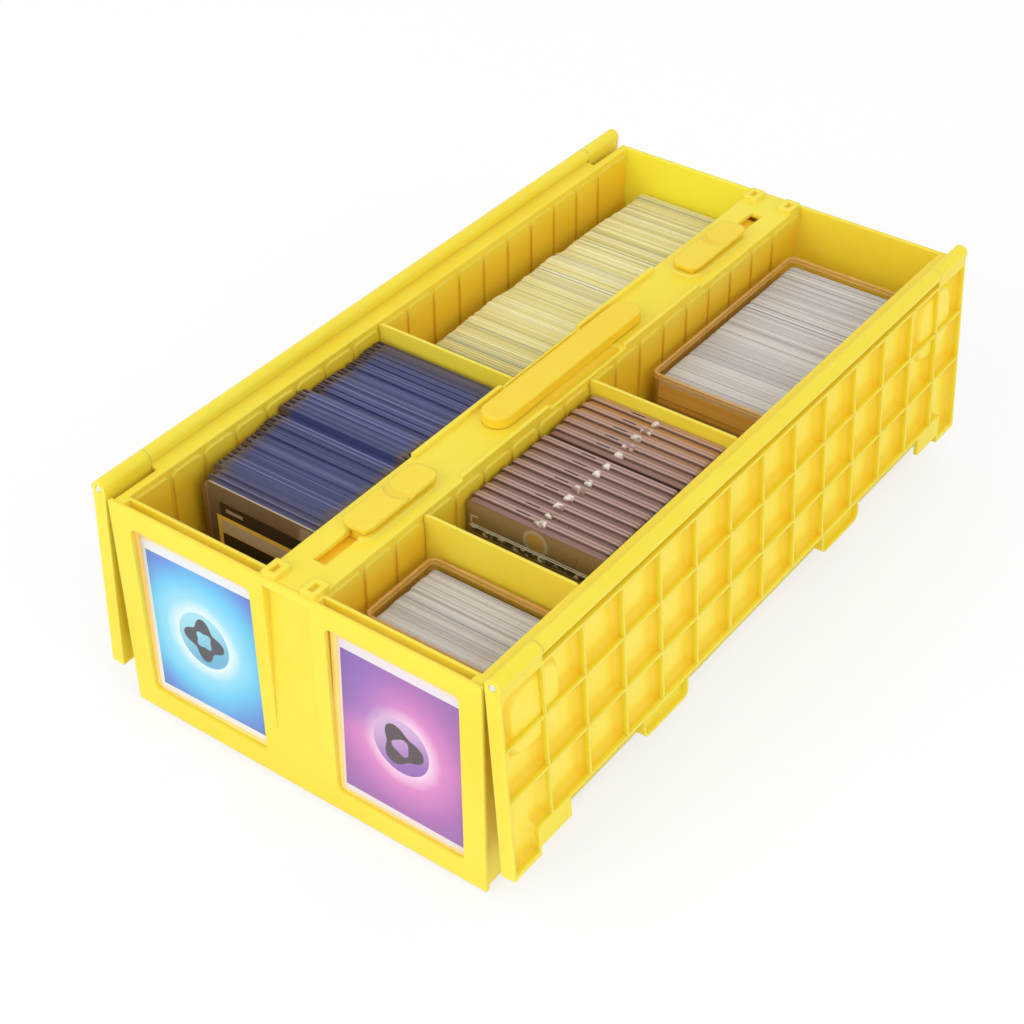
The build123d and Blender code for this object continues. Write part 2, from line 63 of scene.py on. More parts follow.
class Sock:
    # a socket; sums with it add Math nodes
    def __init__(self, finish, socket):
        self.finish = finish
        self.socket = socket

    def maths(self, operation, *values):
        return self.finish.maths(operation, *values)

    def __add__(self, other):
        return self.maths("ADD", self, other)

    def __radd__(self, other):
        return self.maths("ADD", other, self)

    def __sub__(self, other):
        return self.maths("SUBTRACT", self, other)

    def __rsub__(self, other):
        return self.maths("SUBTRACT", other, self)

    def __mul__(self, other):
        return self.maths("MULTIPLY", self, other)

    def __rmul__(self, other):
        return self.maths("MULTIPLY", other, self)

    def __truediv__(self, other):
        return self.maths("DIVIDE", self, other)

    def __pow__(self, other):
        return self.maths("POWER", self, other)

    def __abs__(self):
        return self.maths("ABSOLUTE", self)


class Finish:
    # one material or world: node() adds any node from its type, its settings and its sockets; colours go
    # in as screen colours
    def __init__(self, name, kind="materials"):
        self.material = getattr(bpy.data, kind).new(name)
        self.material.use_nodes = True
        self.tree = self.material.node_tree
        self.tree.nodes.clear()
        self.place = self.node("TexCoord", out="Object")

    def node(self, kind, settings=None, sockets=None, out=0):
        made = self.tree.nodes.new("ShaderNode" + kind)
        for key, value in (settings or {}).items():
            if key == "stops":
                ends = made.color_ramp.elements
                stops = [(spot, tone(*colour)) for spot, colour in value]
                ends[0].position, ends[0].color = stops[0]
                ends[-1].position, ends[-1].color = stops[-1]
                for spot, colour in stops[1:-1]:
                    ends.new(spot).color = colour
            elif key == "ramp":
                made.color_ramp.interpolation = value
            else:
                setattr(made, key, value)
        for key, value in (sockets or {}).items():
            socket = made.inputs[key]
            if isinstance(value, Sock):
                self.tree.links.new(value.socket, socket)
            else:
                socket.default_value = tone(*value) if socket.type == "RGBA" else value
        return Sock(self, made.outputs[out]) if len(made.outputs) else made

    def maths(self, operation, *values):
        return self.node("Math", {"operation": operation}, dict(enumerate(values)))

    def mix(self, share, first, second):
        return self.node("Mix", {"data_type": "RGBA"}, {0: share, 6: first, 7: second}, 2)

    def noise(self, scale, detail=2.0, rough=0.5, place=None):
        # a noise value whose grains are about 1/scale metres apart
        return self.node("TexNoise", {}, {"Vector": place or self.place, "Scale": scale, "Detail": detail,
                                          "Roughness": rough})

    def streaks(self, scale, detail=2.0, rough=0.6):
        # noise drawn out differently along the three axes
        place = self.node("Mapping", {}, {"Vector": self.place, "Scale": scale})
        return self.noise(1.0, detail, rough, place)

    def along(self, direction, start=0.0):
        # millimetres from start along a direction
        dot = self.node("VectorMath", {"operation": "DOT_PRODUCT"},
                        {0: self.place, 1: tuple(float(d) for d in direction)}, "Value")
        return dot * (1 / mm) - start

    def step(self, value, low, high):
        # 0 below low, 1 above high and smooth between
        return self.node("MapRange", {"interpolation_type": "SMOOTHSTEP"},
                         {"Value": value, "From Min": low, "From Max": high})

    def attribute(self, name):
        return self.node("Attribute", {"attribute_name": name}, out="Fac")

    def bump(self, height, strength, distance, normal=None):
        sockets = {"Height": height, "Strength": strength, "Distance": distance * mm}
        if normal is not None:
            sockets["Normal"] = normal
        return self.node("Bump", {}, sockets, "Normal")

    def rounded(self, radius):
        # edges shade as if they were rounded by this many millimetres
        return self.node("Bevel", {"samples": 8}, {"Radius": radius * mm}, "Normal")

    def patch(self, u, v, rect, soft=0.1):
        # 1 inside a rectangle (low u, high u, low v, high v) and 0 outside it
        outside = self.maths("MAXIMUM", abs(u - (rect[0] + rect[1]) / 2) - (rect[1] - rect[0]) / 2,
                             abs(v - (rect[2] + rect[3]) / 2) - (rect[3] - rect[2]) / 2)
        return self.step(outside, soft, -soft)

    def seen(self):
        # 1 where the camera, a gloss or clear plastic looks straight at it
        rays = [self.node("LightPath", {}, {}, f"Is {kind} Ray")
                for kind in ("Camera", "Glossy", "Transmission")]
        return self.maths("MAXIMUM", rays[0], self.maths("MAXIMUM", rays[1], rays[2]))

    def surface(self, base, rough, normal, more=None):
        sockets = {"Base Color": base, "Roughness": rough, "Normal": normal, **(more or {})}
        shader = self.node("BsdfPrincipled", {}, sockets)
        self.node("OutputMaterial", {}, {"Surface": shader})
        return self.material


def paint(piece, material):
    piece.data.materials.clear()
    piece.data.materials.append(material)


# noise scales are per metre; heights, reaches, fades and soft edges are in mm
plasticTexture = dict(
    drift=14.0, flecks=420.0, fleck=0.2, grain=1900.0, waves=55.0, grainHeight=0.05, waveHeight=0.12,
    waveStrength=0.25, roughDrift=0.12, glowReach=6.0, glowTones=(1.0, 0.62, 0.12), soft=0.4, trayFade=14,
    spineFade=(1, 4), rearSoft=0.2, rearShare=0.85)


def insideTint(f, base, look):
    # the body's inner places: painted shade, a warm orange deeper in the trays and spine; painted light, a
    # lemon tone on the left tray's rear wall; painted crease shade on the trays' edges; and a painted glow
    # in the hollow spine
    texture, rim = plasticTexture, look["rim"]
    across, back, height = f.along((1, 0, 0)), f.along((0, 1, 0)), f.along((0, 0, 1))
    aside, soft = abs(across), texture["soft"]
    trays = f.patch(aside, back, look["trays"], soft) * f.step(height, rim, rim - texture["trayFade"])
    high, low = texture["spineFade"]
    spine = f.patch(aside, back, look["spine"], soft) * f.step(height, rim - high, rim - low)
    # painted shade: in the trays below the rim, and down in the spine, the tone turns to a warm orange
    base = f.mix(f.maths("MAXIMUM", trays, spine), base, look["warm"])
    # painted light: the left tray's rear wall turns a paler lemon
    rear = f.patch(across, back, look["rear"], texture["rearSoft"])
    base = f.mix(rear * texture["rearShare"], base, look["lemon"])
    # painted shade: in the trays the edges take the darker crease tone in place of the pale highlight
    edgeColour = f.mix(trays, look["pale"], look["crease"])
    # painted glow: the hollow spine gives off warm light, though it is no lamp
    glow = f.mix(spine, (0, 0, 0), look["warm"])
    return base, edgeColour, {"Emission Color": glow, "Emission Strength": look["through"]}


def yellowPlastic(name, look):
    # satin moulded plastic: soft drift of tone, a fine grain, faint flow waves and pale, thin edges that are
    # a painted highlight
    f, texture = Finish(name), plasticTexture
    drift = f.noise(texture["drift"], 3.0)
    flecks = f.noise(texture["flecks"], 2.0)
    base = f.mix(f.step(drift, 0.35, 0.65), look["deep"], look["light"])
    base = f.mix(f.step(flecks, 0.62, 0.8) * texture["fleck"], base, look["pale"])
    edgeColour, through = look["pale"], {}
    # painted shade: the lid cells' shade mark turns the tone toward foot, an orange
    if "foot" in look:
        base = f.mix(f.attribute("shade"), base, look["foot"])
    if "warm" in look:
        base, edgeColour, through = insideTint(f, base, look)
    grain = f.noise(texture["grain"], 2.0, 0.6)
    waves = f.noise(texture["waves"], 1.0)
    normal = None
    if look["edge"]:
        normal = f.rounded(look["edge"])
        turned = f.node("VectorMath", {"operation": "DOT_PRODUCT"},
                        {0: normal, 1: f.node("NewGeometry", out="Normal")}, "Value")
        # painted highlight: where the rounded normal turns away from the face, the edge is mixed toward the
        # pale tone, in the trays toward the crease shade
        base = f.mix(f.step(1 - turned, 0.01, 0.22) * look["thin"], base, edgeColour)
    normal = f.bump(grain, look["grain"], texture["grainHeight"], normal)
    normal = f.bump(waves, texture["waveStrength"], texture["waveHeight"], normal)
    rough = look["rough"] + (flecks - 0.5) * texture["roughDrift"]
    return f.surface(base, rough, normal, {
        "IOR": 1.46, "Specular IOR Level": 0.42, "Subsurface Weight": look["glow"],
        "Subsurface Radius": texture["glowTones"], "Subsurface Scale": texture["glowReach"] * mm, **through})


# deep, light, pale: its tones, pale also that of the painted highlight on its edges; grain, rough: its
# surface; edge: how far its edges look rounded, in mm; thin: how strongly they take that painted highlight;
# glow: the light spread inside it. Only the body has a rim, its top in mm, the places (low and high
# sideways, low and high back) of its trays, spine and left tray's rear wall, and the tones, painted shade,
# painted light and painted glow in them.
bodyLook = dict(
    deep=(250, 220, 56), light=(251, 226, 70), pale=(253, 237, 124), grain=0.16, rough=0.44, edge=1.2,
    thin=0.5, glow=0.4, warm=(255, 208, 50), rim=112.5, trays=(13.5, 91.5, -180.5, 184.0),
    spine=(-9.0, 9.0, -183.0, 183.0), rear=(-91.5, -13.5, 184.3, 186.5), lemon=(254, 242, 70),
    crease=(216, 150, 24), through=0.14)
lidLook = dict(
    deep=(249, 221, 54), light=(250, 228, 68), pale=(253, 240, 124), grain=0.14, rough=0.4, edge=0.8,
    thin=0.9, glow=0.3)
latchLook = dict(
    deep=(243, 209, 50), light=(245, 216, 62), pale=(252, 234, 112), grain=0.14, rough=0.42, edge=1.2,
    thin=0.4, glow=0.2)
dividerLook = dict(
    deep=(244, 217, 62), light=(247, 224, 74), pale=(254, 245, 130), grain=0.14, rough=0.4, edge=0.6,
    thin=0.9, glow=0.35)

for name, look, painted in (
        ("yellow_body", bodyLook, ("body_shell",)), ("yellow_lid", lidLook, ("lid_left", "lid_right")),
        ("yellow_latch", latchLook, ("latch_front", "latch_rear", "carry_handle")),
        ("yellow_divider", dividerLook, ("divider_left", "divider_right_front", "divider_right_rear"))):
    material = yellowPlastic(name, look)
    for node in painted:
        paint(nodes[node], material)


steelLook = dict(
    rings=(40.0, 1800.0, 40.0), low=(232, 233, 236), high=(250, 250, 250), rough=0.34, roughDrift=0.14)


def steelFinish(name, look):
    # turned steel: fine rings along the rod
    f = Finish(name)
    rings = f.streaks(look["rings"], 2.0, 0.5)
    base = f.mix(rings, look["low"], look["high"])
    return f.surface(base, look["rough"] + rings * look["roughDrift"], f.bump(rings, 0.15, 0.02),
                     {"Metallic": 1.0})


steelPin = steelFinish("steel_pin", steelLook)
for name in ("hinge_pin_left", "hinge_pin_right"):
    paint(nodes[name], steelPin)
print("plastics and steel done")


def ringPoints(steps):
    # a rounded rectangle's corner signs and corner circle, anticlockwise from the right side
    quarter = np.linspace(0, math.pi / 2, steps + 1)
    turns = np.concatenate([quarter + k * math.pi / 2 for k in range(4)])
    signs = np.repeat(np.array([(1, 1), (-1, 1), (-1, -1), (1, -1)]), steps + 1, axis=0)
    return turns, signs


def slabMesh(spec):
    # n upright slabs: point = middle + corner sign * (half size - radius) + radius * (cos, sin),
    # on four rings front to back, the outer two drawn in by the edge rounding; the marks on its points are
    # the height below the top, the share of the depth, the place across and the distance from the side
    def column(value):
        return np.asarray(value, float).reshape(-1, 1, 1)

    middle, front, foot = (column(spec[key]) for key in ("middle", "front", "foot"))
    width, wall, height = (np.broadcast_to(column(spec[key]), middle.shape)
                           for key in ("width", "wall", "height"))
    edge = spec["edge"]
    turns, signs = ringPoints(spec.get("steps", 3))
    inset = column([edge, 0.0, 0.0, edge]).reshape(1, -1, 1)
    depth = np.concatenate([0 * wall, edge + 0 * wall, wall - edge, wall], axis=1)
    least = np.minimum(spec["radius"], 0.49 * np.minimum(width, height))
    corner = np.maximum(least - inset, 0.02)  # never quite sharp
    across = signs[:, 0] * (width / 2 - inset - corner) + corner * np.cos(turns)
    rise = signs[:, 1] * (height / 2 - inset - corner) + corner * np.sin(turns) + height / 2
    points = np.stack(np.broadcast_arrays(middle + across, front + depth, foot + rise), axis=-1)
    flat = points.shape[:3]
    index = np.arange(math.prod(flat)).reshape(flat)
    nextIndex = np.roll(index, -1, axis=2)
    sides = np.stack([index[:, :-1], index[:, 1:], nextIndex[:, 1:], nextIndex[:, :-1]], axis=-1)
    faces = sides.reshape(-1, 4).tolist() + index[:, 0].tolist() + index[:, -1, ::-1].tolist()
    marks = {"rise": rise - height, "deep": depth / wall, "across": across,
             "reach": width / 2 - np.abs(across)}
    marks.update({key: column(value) for key, value in spec.get("marks", {}).items()})
    return points.reshape(-1, 3), faces, {k: np.broadcast_to(v, flat).reshape(-1) for k, v in marks.items()}


def stacked(layers, usual, count, marked):
    # layers of count slabs each as one slabMesh spec; a layer's values go before the usual ones
    keys = ("middle", "front", "foot", "width", "wall", "height") + marked
    spec = {key: np.concatenate([np.broadcast_to(np.asarray(dict(usual, **layer)[key], float), (count,))
                                 for layer in layers]) for key in keys}
    spec["marks"] = {key: spec.pop(key) for key in marked}
    return spec


def addPiece(name, points, faces, marks, material, body, slotName, sharp=35):
    # a mesh from points in mm, smooth but for edges sharper than so many degrees, on its body
    mesh = bpy.data.meshes.new(name)
    mesh.from_pydata((points * mm).tolist(), [], faces)
    for key, value in marks.items():
        mesh.attributes.new(key, "FLOAT", "POINT").data.foreach_set("value", value.astype(np.float32))
    mesh.shade_smooth()
    mesh.set_sharp_from_angle(angle=math.radians(sharp))
    piece = bpy.data.objects.new(name, mesh)
    bpy.context.scene.collection.objects.link(piece)
    paint(piece, material)
    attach(piece, body)
    return piece


def gridFaces(rows, columns, flip=False, wrap=False):
    # quads between the neighbours of a grid; a wrapped grid's columns close on themselves
    index = np.arange(rows * columns).reshape(rows, columns)
    if wrap:
        index = np.hstack([index, index[:, :1]])
    quads = np.stack([index[:-1, :-1], index[1:, :-1], index[1:, 1:], index[:-1, 1:]], axis=-1)
    quads = quads.reshape(-1, 4)
    return quads[:, ::-1] if flip else quads


def joined(parts):
    # several (points, faces) as one, with the faces' numbers moved along
    points, faces, start = [], [], 0
    for partPoints, partFaces in parts:
        points.append(partPoints)
        faces += (np.asarray(partFaces) + start).tolist()
        start += len(partPoints)
    return np.concatenate(points), faces


# axisX, axisZ, tilt: the open lid's hinge line and lean in degrees; start, edge, tongueReach: mm from it
lidShape = dict(
    axisX=100.9, axisZ=116.2, tilt=3.75, start=5.2, edge=85.0, wall=1.2, rib=1.0, floor=2.0, fillet=3.0,
    length=375.0, cellsAlong=14, cellsAcross=3, lines=(0, 0.12, 0.4, 0.85, 1.45, 2.2, 3.0, 4.5, 6.5, 9.0),
    cornerLines=(12, 24, 32, 18), tongueReach=99.4, tongueWall=2.4, tongueLength=18.2, clear=0.03,
    bossAlong=27.5, bossEnd=24.0, bossFlat=14.5, bossFoot=17.4, bossRise=2.5, bossCrown=0.5, bossSink=0.02,
    bossRings=(0.02, 3, 6, 9, 11), bossSlopes=9, bossSteps=64, bossPower=0.5, shadeReach=8.5, lowShade=0.2,
    highShade=0.62, bossShade=0.6)


def cellSpans(shape):
    # each cell's low and high y and its low and high place along the lid, without the two corner cells
    half, rib, wall = shape["length"] / 2, shape["rib"] / 2, shape["wall"]

    def spans(low, high, count):
        # half a rib in from each line, and a whole wall in at both ends
        lines = np.arange(count + 1) * ((high - low) / count) + low
        lows, highs = lines[:-1] + rib, lines[1:] - rib
        lows[0], highs[-1] = low + wall, high - wall
        return list(zip(lows, highs))

    alongBox = spans(-half, half, shape["cellsAlong"])
    alongLid = spans(shape["start"], shape["edge"], shape["cellsAcross"])
    return np.array([(*y, *s) for y in alongBox for s in alongLid
                     if not (y in (alongBox[0], alongBox[-1]) and s == alongLid[-1])])


def cellSurface(shape):
    # each cell: height = (a^4 + b^4)^(1/4), where a and b are the quarter-circle fillets along its sides
    radius, clear, near = shape["fillet"], shape["clear"], np.array(shape["lines"])
    lowY, highY, lowS, highS = cellSpans(shape).T[:, :, None]
    y = np.concatenate([lowY + near, highY - near[::-1]], axis=1)
    s = np.concatenate([lowS + near, highS - near[::-1]], axis=1)

    def fillet(gap):
        into = np.clip(radius - gap, 0, radius)
        return radius - np.sqrt(radius ** 2 - into ** 2)

    sideY = np.maximum(fillet(y - lowY), fillet(highY - y))[:, :, None]
    sideS = np.maximum(fillet(s - lowS), fillet(highS - s))[:, None, :]
    rise = (sideY ** 4 + sideS ** 4) ** 0.25 + clear
    shade = cellShade(shape, [(y - lowY)[:, :, None], (s - lowS)[:, None, :]],
                      [(highY - y)[:, :, None], (highS - s)[:, None, :]])
    y = np.clip(y, lowY + clear, highY - clear)[:, :, None]
    s = np.clip(s, lowS + clear, highS - clear)[:, None, :]
    points = np.stack(np.broadcast_arrays(s, y, rise, shade), axis=-1)
    starts = np.arange(len(points)) * points.shape[1] * points.shape[2]
    faces = gridFaces(*points.shape[1:3]) + starts[:, None, None]
    return points.reshape(-1, 4), faces.reshape(-1, 4)


def cellShade(shape, lowGaps, highGaps):
    # 1 - (1 - a)(1 - b)..., where each side's share falls from its weight to 0 over shadeReach
    def fall(gap, weight):
        share = np.clip(1 - gap / shape["shadeReach"], 0, 1)
        return 1 - weight * share * share * (3 - 2 * share)

    left = 1.0
    for gap in lowGaps:
        left = left * fall(gap, shape["lowShade"])
    for gap in highGaps:
        left = left * fall(gap, shape["highShade"])
    return 1 - left


def cornerSurface(shape, end):
    # the corner cell runs on into the tongue, an L: its fillet follows the distance to the nearest wall
    half, wall, clear, fillet = shape["length"] / 2, shape["wall"], shape["clear"], shape["fillet"]
    far, slack = 99, 1e-6
    nearY, farY = half - shape["length"] / shape["cellsAlong"] + shape["rib"] / 2, half - wall
    tongueY = half - shape["tongueLength"] + wall
    rows = shape["cellsAcross"]
    lowS = shape["start"] + (shape["edge"] - shape["start"]) * (rows - 1) / rows + shape["rib"] / 2
    stepS, highS = shape["edge"] - wall, shape["tongueReach"] - shape["tongueWall"]
    lines = shape["cornerLines"]
    y = [np.linspace(nearY, tongueY, lines[0]), np.linspace(tongueY, farY, lines[1])]
    s = [np.linspace(lowS, stepS, lines[2]), np.linspace(stepS, highS, lines[3])]
    s, y = np.meshgrid(np.unique(np.concatenate(s)), np.unique(np.concatenate(y)), indexing="ij")
    gaps = [y - nearY + far * (s > stepS), farY - y, s - lowS, highS - s,
            np.where(y < tongueY, stepS - s, far), np.where(s > stepS, y - tongueY, far),
            np.where((y >= tongueY) & (s <= stepS), np.hypot(y - tongueY, stepS - s), far)]
    gap = np.clip(np.minimum.reduce(gaps), 0, fillet)
    rise = fillet - np.sqrt(fillet ** 2 - (fillet - gap) ** 2) + clear
    outside = (y < tongueY - slack) & (s > stepS + slack)
    quads = gridFaces(*s.shape)
    quads = quads[~outside.reshape(-1)[quads].any(axis=1)]
    y, s = np.clip(y, nearY + clear, farY - clear), np.clip(s, lowS + clear, highS - clear)
    if end < 0:
        quads = quads[:, ::-1]
    shade = cellShade(shape, [y - nearY, s - lowS], [farY - y, np.where(y < tongueY, stepS, highS) - s])
    return np.stack([s, y * end, rise, shade], axis=-1).reshape(-1, 4), quads


def bossSurface(shape, y):
    # a rounded square dome: a slightly crowned top out to bossFlat, then a smooth slope down to bossFoot;
    # across = reach * sign(cos) * |cos|^bossPower, and along the same with the sine
    flat, foot, crest, power = (shape[f"boss{key}"] for key in ("Flat", "Foot", "Rise", "Power"))
    turns = np.linspace(0, 2 * math.pi, shape["bossSteps"], endpoint=False)
    reach = np.concatenate([shape["bossRings"], np.linspace(flat, foot, shape["bossSlopes"])])
    share = np.clip((reach - flat) / (foot - flat), 0, 1)
    rise = crest * (1 - share * share * (3 - 2 * share)) - shape["bossSink"] * share
    rise += shape["bossCrown"] * np.clip(1 - (reach / flat) ** 2, 0, 1)
    across, along = (np.sign(v) * np.abs(v) ** power for v in (np.cos(turns), np.sin(turns)))
    shade = shape["bossShade"] * np.clip((crest - rise) / crest, 0, 1)
    points = np.broadcast_arrays(shape["bossAlong"] + reach[:, None] * across, y + reach[:, None] * along,
                                 rise[:, None], shade[:, None])
    return np.stack(points, axis=-1).reshape(-1, 4), gridFaces(len(reach), len(turns), wrap=True)


def lidCells(side, name, body, material):
    # lid coordinates are: along the lid from its hinge, along the box, and out from the cells' floor;
    # point = hinge line + along * down + back + (out - floor) * outwards
    bossY = lidShape["length"] / 2 - lidShape["bossEnd"]
    points, faces = joined([
        cellSurface(lidShape), cornerSurface(lidShape, -1), cornerSurface(lidShape, 1),
        bossSurface(lidShape, -bossY), bossSurface(lidShape, bossY)])
    tilt = math.radians(lidShape["tilt"])
    down = np.array([side * math.sin(tilt), 0, -math.cos(tilt)])
    out = np.array([side * math.cos(tilt), 0, math.sin(tilt)])
    origin = np.array([side * lidShape["axisX"], 0, lidShape["axisZ"]])
    placed = (origin + points[:, :1] * down + points[:, 1:2] * np.array([0, 1, 0])
              + (points[:, 2:3] - lidShape["floor"]) * out)
    if side < 0:
        faces = [face[::-1] for face in faces]
    addPiece(name, placed, faces, {"shade": points[:, 3]}, material, body, "yellow_lid", sharp=60)


# the lid cells' liners: paler tones than the lid's, and foot, the orange of the painted shade towards their
# ribs, walls and the boss foot
cellLook = dict(lidLook, edge=0, glow=0, deep=(250, 228, 74), light=(251, 232, 88), foot=(246, 204, 24))
yellowCell = yellowPlastic("yellow_lid_cell", cellLook)
lidCells(-1, "lidCells_left", "left_lid", yellowCell)
lidCells(1, "lidCells_right", "right_lid", yellowCell)
print("lid cells done")


rigidLook = dict(
    seed=11, count=38, film=0.62, play=0.45, lift=0.8, wave=0.6, waveTurn=0.55, tallFrom=17, tallTo=22,
    tall=3.6, tallest=107.0, lastRoom=2.9, cardWall=1.85, cardDrop=0.45, cardWidth=67.0, width=74.8,
    narrow=67.8, narrowCount=3, inset=4.0, insetFade=5.0, rearDrop=0.25, gap=0.02, corner=3.0,
    frontCorner=6.0, edge=0.15, navy=((50, 56, 100), (68, 76, 130)), streak=(112, 120, 160),
    brown=((66, 54, 54), (126, 102, 76)), lip=(150, 156, 190), ends=(84, 70, 66),
    streakScale=(30.0, 900.0, 8.0), margin=(1.5, 8.0))


def rigidFinish(look):
    # dark cards between clear films: fine navy lines, brown see-through margins, a few pale film edges
    f = Finish("rigid_holder")
    chance = f.attribute("chance")
    isFilm = f.attribute("film")
    streak = f.streaks(look["streakScale"], 3.0)
    navy = f.mix(chance, *look["navy"])
    navy = f.mix(f.step(streak, 0.55, 0.8) * 0.3, navy, look["streak"])
    jag = f.noise(300.0, 2.0) * 5.0  # ragged edge of the brown margin, in mm
    brown = f.mix(f.noise(120.0), *look["brown"])
    reach = f.attribute("half") - abs(f.attribute("across"))
    margin = 1 - f.step(reach, look["margin"][0] + jag, look["margin"][1] + jag)
    base = f.mix(margin * 0.85, navy, brown)
    lip = f.step(f.attribute("rise"), -0.7, -0.1) * isFilm * (1 - margin * 0.5)
    base = f.mix(lip * f.step(chance, 0.45, 1.0) * 0.45, base, look["lip"])
    rearEnd = f.step(f.attribute("order"), 0.86, 0.98)
    ends = f.maths("MAXIMUM", rearEnd, f.step(f.attribute("order"), 0.12, 0.0) * 0.6)
    base = f.mix(ends * 0.75, base, look["ends"])
    return f.surface(base, 0.3, f.bump(f.noise(500.0), 0.2, 0.05), {"Specular IOR Level": 0.5})


# the rects are low and high sideways and low and high up, in mm
frontLook = dict(
    face=(106, 90, 66), low=(86, 68, 48), warm=(124, 84, 46), dark=(46, 40, 32), pale=(150, 142, 120),
    border=(236, 200, 92), strip=(196, 188, 160), field=(44, 42, 36), line=(178, 166, 140),
    fade=(84.0, 108.0), rim=2.4, rearCard=(-74.4, -8.0, 0.0, 96.1), rearPatch=(-71.0, -61.4, 91.5, 93.5),
    frontCard=(-76.6, -8.0, 0.0, 88.6), frontStrip=(-74.3, -8.0, 79.6, 86.3),
    frontField=(-74.3, -8.0, 0.0, 79.4))


def rigidFrontFinish(look):
    # the first holder's face: brown film, and two cards seen through it, one in front of the other
    f = Finish("rigid_front")
    x, z = f.along((1, 0, 0)), f.along((0, 0, 1))
    base = f.mix(f.step(z, *look["fade"]), look["low"], look["face"])
    base = f.mix(f.step(f.attribute("reach"), 5.0, 0.5) * 0.7, base, look["warm"])
    rims = f.step(abs(f.attribute("reach") - look["rim"]), 0.3, 0.1)
    rims = rims + f.step(f.attribute("reach"), 0.5, 0.1)
    base = f.mix(rims * 0.45, base, look["line"])
    base = f.mix(f.noise(60.0, 3.0) * 0.25, base, look["pale"])
    for card, colour in (("rearCard", "dark"), ("rearPatch", "pale"), ("frontCard", "border"),
                         ("frontStrip", "strip"), ("frontField", "field")):
        base = f.mix(f.patch(x, z, look[card]), base, look[colour])
    base = f.mix(f.step(f.attribute("rise"), -0.6, -0.2), base, look["line"])
    return f.surface(base, 0.2, f.bump(f.noise(90.0), 0.15, 0.1))


def rigidHolders(look):
    # count holders, each a card between two films: front = first + order * step, height = box height
    # - chance * lift + wave * sin(order * waveTurn) + tall for a few, and the first ones are narrower
    low, high = boxOf("rigid_holders")
    random = np.random.default_rng(look["seed"])
    count, film, gap = look["count"], look["film"], look["gap"]
    order = np.arange(count)
    front = low[1] + order * (high[1] - low[1] - look["lastRoom"]) / (count - 1)
    narrow = order < look["narrowCount"]
    inset = look["inset"] * np.exp(-(order - look["narrowCount"]) / look["insetFade"]) * ~narrow
    width = np.where(narrow, look["narrow"], look["width"] - inset - 2 * look["play"])
    middle = high[0] - look["play"] - width / 2 + random.uniform(-look["play"], look["play"], count)
    tall = np.where((order >= look["tallFrom"]) & (order < look["tallTo"]), look["tall"], 0.0)
    height = high[2] - low[2] - look["lift"] * random.uniform(0, 1, count)
    height = np.minimum(height + np.sin(order * look["waveTurn"]) * look["wave"] + tall, look["tallest"])
    chance = random.uniform(0, 1, (3, count))
    usual = {"middle": middle, "foot": low[2], "width": width, "wall": film, "film": 1.0,
             "order": order / count, "half": width / 2}
    layers = [
        {"front": front, "height": height, "chance": chance[0]},
        {"front": front + film + gap, "height": height - look["cardDrop"], "chance": chance[1],
         "wall": look["cardWall"], "width": np.minimum(look["cardWidth"], width - 3), "film": 0.0},
        {"front": front + film + look["cardWall"] + 2 * gap, "height": height - look["rearDrop"],
         "chance": chance[2]}]
    spec = stacked(layers, usual, count, ("chance", "film", "order", "half"))
    first = {key: value[:1] for key, value in spec.items() if key != "marks"}
    spec = {key: value if key == "marks" else value[1:] for key, value in spec.items()}
    spec["marks"] = {key: value[1:] for key, value in spec["marks"].items()}
    piece = addPiece("rigidHolders", *slabMesh(dict(spec, radius=look["corner"], edge=look["edge"])),
                     rigidFinish(look), "holder_stack", "rigid_holder")
    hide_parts("rigid_holders")
    addPiece("rigidFront", *slabMesh(dict(first, radius=look["frontCorner"], edge=look["edge"], steps=6)),
             rigidFrontFinish(frontLook), "holder_stack", "rigid_holder")


rigidHolders(rigidLook)
print("rigid holders done")


def cardEdges(name, colours, bundles):
    # card edges: each card has its own tone, some are darker or tinted, in bundles along the stack
    f = Finish(name)
    chance = f.attribute("chance")
    base = f.node("ValToRGB", {"stops": colours, "ramp": "CONSTANT"}, {"Fac": chance}, "Color")
    bundle = f.streaks((3.0, bundles, 3.0))
    base = f.mix(f.step(bundle, 0.5, 0.75) * 0.35, base, colours[-1][1])
    return f.surface(base, 0.6, f.bump(f.noise(700.0), 0.2, 0.05), {"Specular IOR Level": 0.3})


cardEdge = dict(wall=0.92, edge=0.2, radius=2.5, steps=2)  # wall and edge as shares of the pitch


def cardStack(name, node, look, material, body, slotName):
    # count cards at even steps: the drop of the top and the sideways shift each follow a slow curve
    # through random heights, plus a random part of their own
    low, high = boxOf(node)
    random = np.random.default_rng(look["seed"])
    count, pitch, waves = int((high[1] - low[1]) / look["pitch"]), look["pitch"], look["waves"]
    order = np.arange(count)
    y = low[1] + order * (high[1] - low[1]) / count
    slow = np.interp(order, np.linspace(0, count, waves), random.uniform(0, 1, waves))
    drop = look["uneven"] * slow + random.uniform(0, look["ragged"], count)
    sway = np.interp(order, np.linspace(0, count, waves), random.uniform(-1, 1, waves))
    shift = look["sway"] * sway + random.uniform(-1, 1, count) * look["jog"]
    room = (high[0] - low[0] - look["width"]) / 2
    shift = np.clip(shift, -room, room) if look["keep"] else shift
    spec = {"middle": (low[0] + high[0]) / 2 + shift, "front": y, "foot": low[2], "width": look["width"],
            "wall": pitch * cardEdge["wall"], "height": high[2] - low[2] - drop,
            "radius": cardEdge["radius"], "edge": pitch * cardEdge["edge"], "steps": cardEdge["steps"],
            "marks": {"chance": random.uniform(0, 1, count)}}
    piece = addPiece(name, *slabMesh(spec), material, body, slotName)
    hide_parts(node)


